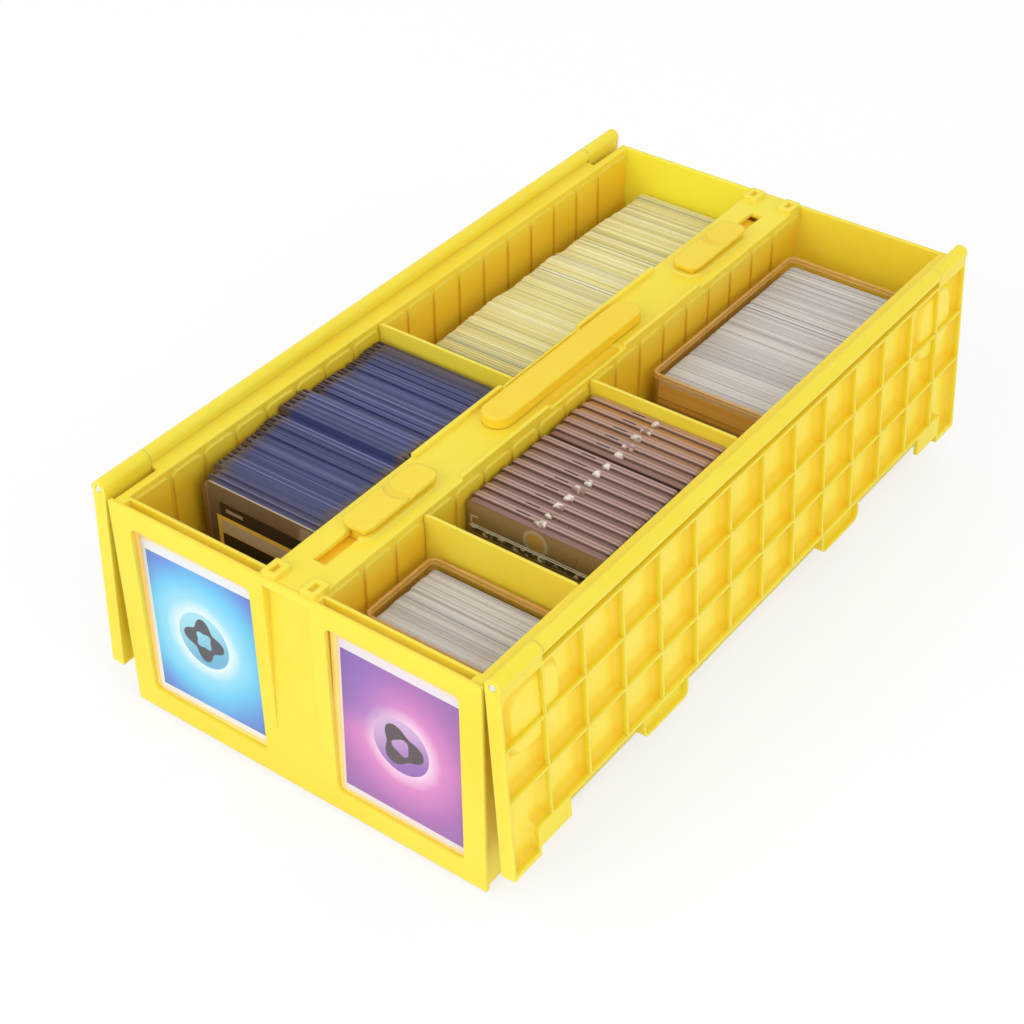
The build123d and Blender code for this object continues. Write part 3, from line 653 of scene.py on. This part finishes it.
looseLook = dict(
    seed=5, pitch=0.62, waves=16, uneven=2.6, ragged=0.8, sway=0.6, jog=0.35, width=63.5, keep=False)
creamCard = cardEdges("cream_card", [
    (0.0, (236, 228, 168)), (0.4, (226, 216, 146)), (0.65, (246, 241, 200)), (0.82, (210, 204, 146)),
    (0.93, (190, 190, 156))], 60.0)
cardStack("looseCards", "loose_cards", looseLook, creamCard, "card_stack", "cream_card")

packLook = dict(
    seed=8, pitch=0.62, waves=10, uneven=0.8, ragged=0.5, sway=0.0, jog=0.0, width=63.5, keep=True)
greyCard = cardEdges("grey_card", [
    (0.0, (210, 207, 202)), (0.45, (200, 196, 191)), (0.7, (220, 217, 213)), (0.85, (182, 179, 180)),
    (0.94, (168, 162, 172))], 70.0)
for end in ("front", "rear"):
    packLook["seed"] += 3
    cardStack(f"cardPack_{end}", f"card_pack_{end}", packLook, greyCard, f"{end}_case", "grey_card")


faceLook = dict(
    width=63.0, height=82.0, wall=0.3, ahead=0.4, corner=3.0, edge=0.05, base=(234, 182, 82),
    band=(250, 214, 112), line=(150, 100, 44), dark=(96, 76, 34), bandRect=(18.0, 90.0, 80.5, 84.9),
    lineRect=(18.0, 90.0, 79.7, 80.5), darkRect=(22.0, 90.0, 0.0, 77.6))


def cardFaceFinish(look):
    # the first card of the rear case: amber face, a paler band and a dark panel below it
    f = Finish("amber_card")
    x, z = f.along((1, 0, 0)), f.along((0, 0, 1))
    base = f.mix(f.noise(80.0, 2.0) * 0.3, look["base"], look["band"])
    for part in ("band", "line", "dark"):
        base = f.mix(f.patch(x, z, look[f"{part}Rect"]), base, look[part])
    return f.surface(base, 0.4, f.bump(f.noise(600.0), 0.1, 0.05))


def cardFace(look):
    # one thin slab standing just ahead of the rear case's stack
    low, high = boxOf("card_pack_rear")
    spec = {"middle": (low[0] + high[0]) / 2, "front": low[1] - look["ahead"], "foot": low[2],
            "width": look["width"], "wall": look["wall"], "height": look["height"],
            "radius": look["corner"], "edge": look["edge"]}
    addPiece("cardFace", *slabMesh(spec), cardFaceFinish(look), "rear_case", "grey_card")


cardFace(faceLook)
print("card stacks done")


# widths, walls and drops of a holder's front half, seams, rear half, slit and glint, in mm
magneticLook = dict(
    seed=21, counts=(8, 5), pitch=6.85, rearStart=57.8, back=0.12, play=0.35, half=3.05, lift=0.5,
    hollow=1.2, frontWidth=71.0, rearWidth=71.2, seamWidth=69.8, seamWalls=(0.4, 0.35),
    seamDrops=(1.0, 1.4), gap=0.02, slitAside=-9.5, slitWidth=8.5, slitWall=1.4, slitBack=0.7, slitFoot=2.0,
    slitHeight=2.08, glintWidth=8.0, glintShare=(0.45, 0.85), glintPlay=0.4, glintWall=3.0, glintAhead=0.9,
    glintFoot=2.4, glintHeight=2.7, corner=3.0, edge=0.35, dark=((122, 88, 80), (142, 106, 96)),
    darkAmber=(178, 124, 62), pale=((152, 118, 110), (194, 162, 154)), paleAmber=(204, 160, 110),
    lip=(112, 80, 72), lipAmber=(140, 98, 60), seam=((84, 58, 50), (108, 76, 64)), slit=(66, 46, 42),
    glint=((150, 116, 98), (232, 222, 212)), ring=(216, 206, 176), mark=(228, 222, 206),
    streakScale=(14.0, 900.0, 200.0),
    face=[(0.0, (84, 62, 34)), (0.5, (124, 104, 44)), (0.7, (146, 122, 66)), (1.0, (156, 126, 92))],
    faceLow=62.0, faceHeight=44, disc=(51.3, 97.2), discRadius=5.4,
    markRects=((-33.2, -32.6, -3.6, 0.0), (-33.2, -29.6, -0.6, 0.0)))


def magneticFinish(look):
    # clear halves round a card: pale ridges, a painted highlight, behind a dark hollow, an olive front, and
    # a rear group turned amber by painted light bounced from the yellow box
    f = Finish("magnetic_holder")
    chance, kind, deep = f.attribute("chance"), f.attribute("kind"), f.attribute("deep")
    order = f.attribute("order")
    grain = f.noise(260.0, 3.0)
    streak = f.streaks(look["streakScale"])
    # painted reflected light: the rear group's tones, lips included, turn amber from the yellow box's
    # bounced light
    amber = f.step(order, 0.55, 0.95) * (1 - f.step(order, 1.0, 1.02))
    dark = f.mix(chance, *look["dark"])
    dark = f.mix(amber, dark, look["darkAmber"])
    pale = f.mix(streak, *look["pale"])
    pale = f.mix(amber * 0.25, pale, look["paleAmber"])
    # painted highlight: a pale band across the top of each rear half
    ridge = f.step(kind, -0.4, -0.6) * f.step(abs(deep - 0.4), 0.08, 0.16) * f.step(deep, 1.0, 0.92)
    front = f.step(order, 0.03, 0.01)
    lip = f.step(f.attribute("rise"), -1.0, -0.25)
    body = f.mix(lip, f.mix(amber, look["lip"], look["lipAmber"]), f.mix(ridge, dark, pale))
    body = f.mix(f.step(kind, 0.4, 0.6), body, f.mix(chance, *look["seam"]))
    # painted shade: the slit slabs are dark, standing for a recess
    body = f.mix(f.step(kind, 1.4, 1.6), body, look["slit"])
    spark = f.mix(f.step(grain, 0.4, 0.62), *look["glint"])
    body = f.mix(f.step(kind, 2.4, 2.6), body, spark)
    height = f.along((0, 0, 1), look["faceLow"]) / look["faceHeight"]
    face = f.node("ValToRGB", {"stops": look["face"]}, {"Fac": height}, "Color")
    x, z = f.along((1, 0, 0), look["disc"][0]), f.along((0, 0, 1), look["disc"][1])
    ring = f.step(abs((x * x + z * z) ** 0.5 - look["discRadius"]), 1.1, 0.8) * 0.45
    face = f.mix(ring, face, look["ring"])
    for rect in look["markRects"]:
        face = f.mix(f.patch(x, z, rect), face, look["mark"])
    body = f.mix(front * (1 - lip), body, face)
    return f.surface(body, 0.24 + grain * 0.1, f.bump(grain, 0.12, 0.05))


def magneticHolders(look):
    # two groups of holders at even steps; in each, the layers follow one another from front to back:
    # front half (kind 0), seam (1), rear half (-1), seam (1), and at the top a slit (2), a dark slab of
    # painted shade for a recess, and a glint (3)
    low, high = boxOf("magnetic_holders")
    random = np.random.default_rng(look["seed"])
    (ahead, behind), half, gap = look["counts"], look["half"], look["gap"]
    start = np.concatenate([np.arange(ahead) * look["pitch"],
                            look["rearStart"] + np.arange(behind) * look["pitch"]]) + low[1] + look["back"]
    count = ahead + behind
    middle = (low[0] + high[0]) / 2 + random.uniform(-look["play"], look["play"], count)
    height = high[2] - low[2] - random.uniform(0, 1, count) * look["lift"]
    chance = random.uniform(0, 1, count)
    top = low[2] + height
    order = np.arange(count) / count
    (firstWall, lastWall), (firstDrop, lastDrop) = look["seamWalls"], look["seamDrops"]
    rear = start + half + firstWall + 2 * gap
    layers = [
        {"front": start, "wall": half, "height": height - look["hollow"], "width": look["frontWidth"],
         "kind": 0.0, "order": order},
        {"front": start + half + gap, "wall": firstWall, "height": height - firstDrop,
         "width": look["seamWidth"], "kind": 1.0},
        {"front": rear, "wall": half, "height": height, "width": look["rearWidth"], "kind": -1.0,
         "order": np.maximum(order, 0.05)},
        {"front": rear + half + gap, "wall": lastWall, "height": height - lastDrop,
         "width": look["seamWidth"], "kind": 1.0},
        {"middle": middle + look["slitAside"], "front": start + half + look["slitBack"],
         "foot": top - look["slitFoot"], "width": look["slitWidth"], "wall": look["slitWall"],
         "height": look["slitHeight"], "kind": 2.0},
        {"middle": middle + random.uniform(-look["glintPlay"], look["glintPlay"], count),
         "front": start + half - look["glintAhead"], "foot": top - look["glintFoot"],
         "width": look["glintWidth"] * random.uniform(*look["glintShare"], count),
         "wall": look["glintWall"], "height": look["glintHeight"], "kind": 3.0}]
    usual = {"middle": middle, "foot": low[2], "order": 2.0, "chance": chance}
    spec = stacked(layers, usual, count, ("chance", "order", "kind"))
    piece = addPiece("magneticHolders", *slabMesh(dict(spec, radius=look["corner"], edge=look["edge"])),
                     magneticFinish(look), "magnetic_stack", "magnetic_holder")
    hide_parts("magnetic_holders")


magneticHolders(magneticLook)


discLook = dict(low=(214, 160, 62), high=(244, 204, 116), metal=0.55, rough=0.3)


def discFinish(name, look):
    # gold-plated disc with a brushed face
    f = Finish(name)
    brushed = f.noise(900.0, 3.0)
    base = f.mix(brushed, look["low"], look["high"])
    return f.surface(base, look["rough"] + brushed * 0.2, f.bump(brushed, 0.15, 0.03),
                     {"Metallic": look["metal"]})


paint(nodes["magnet_discs"], discFinish("magnet_metal", discLook))
print("magnetic holders done")


# the alphas are the sheet's own, and what the band and the line add to it
sheetLook = dict(
    line=(20.0, 80.0, 94.8, 95.5), band=(21.0, 79.0, 92.2, 94.8), dashScale=(260.0, 20.0, 500.0),
    clear=(190, 170, 120), dark=(58, 56, 40), dash=(206, 204, 186), bright=(238, 236, 226),
    alphas=(0.05, 0.75, 0.8))


def sheetFinish(name, look):
    # nearly invisible, but for a bright line along its top, a painted highlight, and a dark band below it
    # with pale dashes of painted highlight
    f = Finish(name)
    x, z = f.along((1, 0, 0)), f.along((0, 0, 1))
    line, band = f.patch(x, z, look["line"]), f.patch(x, z, look["band"])
    # painted highlight: pale dashes along the dark band and a bright line along the top edge
    dashes = f.step(f.streaks(look["dashScale"]), 0.5, 0.62)
    base = f.mix(band, look["clear"], f.mix(dashes, look["dark"], look["dash"]))
    base = f.mix(line, base, look["bright"])
    sheet, onBand, onLine = look["alphas"]
    alpha = sheet + band * onBand + line * onLine
    return f.surface(base, 0.12, f.bump(f.noise(120.0), 0.15, 0.05), {"IOR": 1.49, "Alpha": alpha})


paint(nodes["clear_sheet"], sheetFinish("clear_sheet", sheetLook))


caseLook = dict(
    wall=1.3, radius=4.0, height=90.5, lipDrop=3.2, lipOut=0.35, steps=6,
    amber=((220, 172, 76), (232, 192, 104)), copper=((206, 146, 70), (234, 190, 116)), alpha=0.2,
    smearAlpha=0.1, rimAlpha=0.12, lineAlpha=0.34)


def caseFinish(name, look):
    # amber-tinted clear plastic, thick and coppery at its double rim
    f = Finish(name)
    smear = f.noise(30.0, 3.0)
    rise = f.attribute("rise")
    rim = f.step(rise, -3.4, -2.9)
    line = f.maths("MAXIMUM", f.step(rise, -0.7, -0.25), f.step(abs(rise + 2.3), 0.5, 0.2))
    amber = f.mix(smear, *look["amber"])
    base = f.mix(line, amber, f.mix(f.noise(160.0, 2.0), *look["copper"]))
    alpha = look["alpha"] + smear * look["smearAlpha"] + rim * look["rimAlpha"] + line * look["lineAlpha"]
    return f.surface(base, 0.1, f.bump(smear, 0.2, 0.1), {"IOR": 1.49, "Alpha": alpha})


def caseShell(name, node, look, material, body):
    # a wall profile, out and up with two ridges, over the rim and down inside, carried round a rounded
    # rectangle: point = middle + corner sign * (half size - radius) + (radius + out) * (cos, sin)
    low, high = boxOf(node)
    middle, half = (low + high) / 2, (high - low) / 2
    top, out, wall, lip = look["height"], look["lipOut"], look["wall"], look["lipDrop"]
    profile = np.array([  # out from the wall and up from the floor
        (-0.1, 0.0), (-0.1, top - lip - 0.6), (-0.05, top - lip), (out * 0.6, top - lip + 0.25),
        (out, top - lip + 0.7), (out, top - 2.1), (out * 0.7, top - 1.75), (0.0, top - 1.5),
        (out * 0.5, top - 1.2), (out * 0.7, top - 0.7), (out * 0.4, top - 0.2), (-0.2, top),
        (-wall + 0.3, top), (-wall, top - 0.3), (-wall, top - 2.0), (-wall - 0.25, top - 2.4),
        (-wall, top - 2.8), (-wall, wall)])
    turns, signs = ringPoints(look["steps"])
    radius = look["radius"]
    x = middle[0] + signs[:, 0] * (half[0] - out - radius) + (radius + profile[:, :1]) * np.cos(turns)
    y = middle[1] + signs[:, 1] * (half[1] - out - radius) + (radius + profile[:, :1]) * np.sin(turns)
    z = low[2] + profile[:, 1:] + 0 * x
    points = np.stack([x, y, z], axis=-1)
    rise = np.broadcast_to(profile[:, 1:] - top, x.shape).reshape(-1)
    faces = gridFaces(len(profile), len(turns), flip=True, wrap=True).tolist()
    last = (len(profile) - 1) * len(turns)
    faces += [list(range(len(turns)))[::-1], list(range(last, last + len(turns)))]
    piece = addPiece(name, points.reshape(-1, 3), faces, {"rise": rise}, material, body, "clear_case",
                     sharp=50)
    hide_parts(node)


clearCase = caseFinish("clear_case", caseLook)
for end in ("front", "rear"):
    caseShell(f"cardCase_{end}", f"card_case_{end}", caseLook, clearCase, f"{end}_case")
print("cases done")


leanAngle = math.radians(1.4)  # of the display cards, away from their windows
cardTurns = dict(left=1.2, right=-0.5)  # degrees


def cardPlace(f, side):
    # across and up a leaning, slightly turned display card, in millimetres from its middle
    low, high = boxOf(f"display_card_{side}")
    middle = (low + high) / 2
    turn = math.radians(cardTurns[side])
    across = np.array([math.cos(turn), math.sin(turn) * math.sin(leanAngle),
                       math.sin(turn) * math.cos(leanAngle)])
    facing = np.array([0, -math.cos(leanAngle), math.sin(leanAngle)])
    upward = np.cross(facing, across)
    return f.along(across, float(across @ middle)), f.along(upward, float(upward @ middle))


def displayFinish(name, side, look):
    # a card face: white border and strips, a field that brightens to its glow, and a plain rosette disc:
    # a petal's reach = size * share * (1 + cos(petals * angle) * depth)
    f = Finish(name)
    u, v = cardPlace(f, side)
    size, lobes = look["size"], look["lobes"]
    ru, rv = u - look["centre"][0], v - look["centre"][1]
    away = (ru * ru + rv * rv) ** 0.5
    cloud = f.noise(45.0, 4.0, 0.6) - 0.5
    glow = away / look["glowReach"] + cloud * 0.12
    field = f.node("ValToRGB", {"stops": look["stops"]}, {"Fac": glow}, "Color")
    field = f.mix(f.step(u, 8.0, -30.0) * f.step(v, *look["tint"]) * 0.7, field, look["side"])
    turned = f.maths("ARCTAN2", rv, ru)
    disc = 1 - f.step(away, size - 0.3, size)
    shade = f.mix(f.step(rv - ru * 0.4, -size, size), look["discLow"], look["discHigh"])
    field = f.mix(disc, field, shade)
    petal = size * lobes[0] * (1 + f.maths("COSINE", turned * look["petals"]) * lobes[1])
    field = f.mix(f.step(away - petal, 0.25, -0.25), field, look["dark"])
    core = size * lobes[2] * (1 - f.maths("COSINE", turned * look["petals"]) * lobes[3])
    field = f.mix(f.step(away - core, 0.2, -0.2), field, shade)
    frameColour = f.mix(f.step(v, -30.0, 40.0), look["border"], look["strip"])
    inner = f.patch(u, v, look["window"], 0.12)
    field = f.mix(inner, frameColour, field)
    rim = f.patch(u, v, look["edge"], 0.15)
    field = f.mix(rim, look["rim"], field)
    return f.surface(field, 0.35, f.bump(f.noise(900.0), 0.1, 0.05))


blueLook = dict(
    centre=(-0.5, -3.2), petals=4, lobes=(0.66, 0.22, 0.3, 0.15), size=14.2,
    stops=[(0.0, (240, 248, 252)), (0.25, (214, 238, 248)), (0.35, (140, 216, 246)),
           (0.5, (90, 200, 246)), (0.66, (80, 146, 228)), (0.84, (74, 96, 198))],
    glowReach=60, dark=(52, 58, 82), discLow=(86, 172, 214), discHigh=(152, 218, 238),
    side=(76, 132, 224), tint=(14.0, 44.0), window=(-28.9, 30.0, -40.6, 33.2),
    edge=(-31.2, 31.2, -43.8, 38.0), border=(234, 234, 234), strip=(226, 232, 240), rim=(240, 222, 172))
purpleLook = dict(
    blueLook, petals=3, dark=(64, 52, 76), discLow=(140, 90, 180),
    stops=[(0.0, (248, 240, 250)), (0.22, (240, 206, 236)), (0.34, (212, 128, 200)),
           (0.58, (166, 98, 184)), (0.9, (126, 92, 176))],
    discHigh=(204, 168, 218), side=(108, 86, 186), tint=(-10.0, 10.0), window=(-30.2, 30.4, -40.6, 34.0),
    edge=(-31.2, 31.2, -43.8, 38.6), border=(230, 224, 234), strip=(228, 222, 236))


clearLook = dict(
    card=(-31.6, 31.6, -44.3, 44.3), tints=((250, 218, 120), (253, 230, 156)), alpha=0.8, overCard=0.78,
    glow=0.3)


def displayHolderFinish(side, look):
    # clear plastic that shows the warm slot wall round the card and hardly veils the card itself; its tint
    # also glows, a painted glow that lightens the shaded window reveal
    f = Finish(f"clear_display_{side}")
    u, v = cardPlace(f, side)
    card = f.patch(u, v, look["card"], 0.2)
    tint = f.mix(f.noise(60.0, 2.0), *look["tints"])
    alpha = look["alpha"] - card * look["overCard"]
    # painted glow: the tint is given off as light, though the holder is no lamp
    return f.surface(tint, 0.14, f.bump(f.noise(120.0), 0.15, 0.05), {
        "IOR": 1.49, "Alpha": alpha, "Emission Color": tint, "Emission Strength": look["glow"]})


for side, name, look in (("left", "blue_card", blueLook), ("right", "purple_card", purpleLook)):
    paint(nodes[f"display_card_{side}"], displayFinish(name, side, look))
    paint(nodes[f"display_holder_{side}"], displayHolderFinish(side, clearLook))
print("display cards done")


studioLook = dict(
    floorSize=8000.0, floorTones=((250, 250, 250), (253, 253, 253)), floorWhite=0.72, world=1.08,
    target=(0, 0, 0.05), keyLamp=dict(place=(-0.6, -2.4, 1.5), size=1.8, power=20),
    fillLamp=dict(place=(2.2, -0.6, 1.6), size=1.6, power=10))


def floorFinish(look):
    # a pale floor that keeps the object's shadow; the camera, gloss and glass see it mostly as white
    f = Finish("floor")
    shader = f.node("BsdfPrincipled", {}, {"Base Color": f.mix(f.noise(2.0), *look["floorTones"]),
                                           "Roughness": 0.9, "Specular IOR Level": 0.0})
    white = f.node("Emission", {}, {"Color": (255, 255, 255), "Strength": 1.0})
    share = f.seen() * look["floorWhite"]
    f.node("OutputMaterial", {}, {"Surface": f.node("MixShader", {}, {0: share, 1: shader, 2: white})})
    return f.material


def worldFinish(strength):
    # a soft white studio, brighter where it is looked at than where it lights
    f = Finish("studio", "worlds")
    lit = f.node("Background", {}, {"Strength": strength})
    white = f.node("Background", {}, {"Strength": 1.0})
    f.node("OutputWorld", {}, {"Surface": f.node("MixShader", {}, {0: f.seen(), 1: lit, 2: white})})
    return f.material


def addFloor(look):
    # one flat square under the object
    corners = np.array([(-1, -1, 0), (1, -1, 0), (1, 1, 0), (-1, 1, 0)]) * look["floorSize"] / 2
    mesh = bpy.data.meshes.new("floor")
    mesh.from_pydata((corners * mm).tolist(), [], [(0, 1, 2, 3)])
    floor = bpy.data.objects.new("floor", mesh)
    bpy.context.scene.collection.objects.link(floor)
    paint(floor, floorFinish(look))


def addLamp(name, target, place, size, power):
    # a round soft lamp that looks at its target
    lamp = bpy.data.lights.new(name, "AREA")
    lamp.shape = "DISK"
    lamp.size = size
    lamp.energy = power
    holder = bpy.data.objects.new(name, lamp)
    bpy.context.scene.collection.objects.link(holder)
    holder.location = place
    holder.rotation_euler = (Vector(target) - Vector(place)).to_track_quat("-Z", "Y").to_euler()


addFloor(studioLook)
bpy.context.scene.world = worldFinish(studioLook["world"])
for name in ("keyLamp", "fillLamp"):
    addLamp(name, studioLook["target"], **studioLook[name])


# the camera's place, direction, roll and shift were fitted to the photograph's straight edges
shot = dict(
    place=(0.42663, -0.60879, 0.62131), azimuth=-36.386, elevation=38.356, roll=-0.360, focal=2014.16,
    middle=(524.76, 507.50), frame=1024, sensor=36, nearest=0.02)


def addCamera(look):
    # forward = (sin a cos e, cos a cos e, -sin e), then right and up turned by the roll
    azimuth, elevation, roll = (math.radians(look[k]) for k in ("azimuth", "elevation", "roll"))
    forward = Vector((math.sin(azimuth) * math.cos(elevation), math.cos(azimuth) * math.cos(elevation),
                      -math.sin(elevation)))
    right = Vector((math.cos(azimuth), -math.sin(azimuth), 0))
    up = right.cross(forward)
    rightTurned = right * math.cos(roll) + up * math.sin(roll)
    upTurned = -right * math.sin(roll) + up * math.cos(roll)
    camera = bpy.data.objects.new("camera", bpy.data.cameras.new("camera"))
    bpy.context.scene.collection.objects.link(camera)
    turned = Matrix((rightTurned, upTurned, -forward)).transposed().to_4x4()
    camera.matrix_world = Matrix.Translation(look["place"]) @ turned
    camera.data.sensor_width = look["sensor"]
    camera.data.lens = look["sensor"] * look["focal"] / look["frame"]
    camera.data.shift_x = (look["frame"] / 2 - look["middle"][0]) / look["frame"]
    camera.data.shift_y = (look["middle"][1] - look["frame"] / 2) / look["frame"]
    camera.data.clip_start = look["nearest"]
    bpy.context.scene.camera = camera


addCamera(shot)
bpy.context.scene.view_settings.view_transform = "Standard"
print("floor, light and camera done")
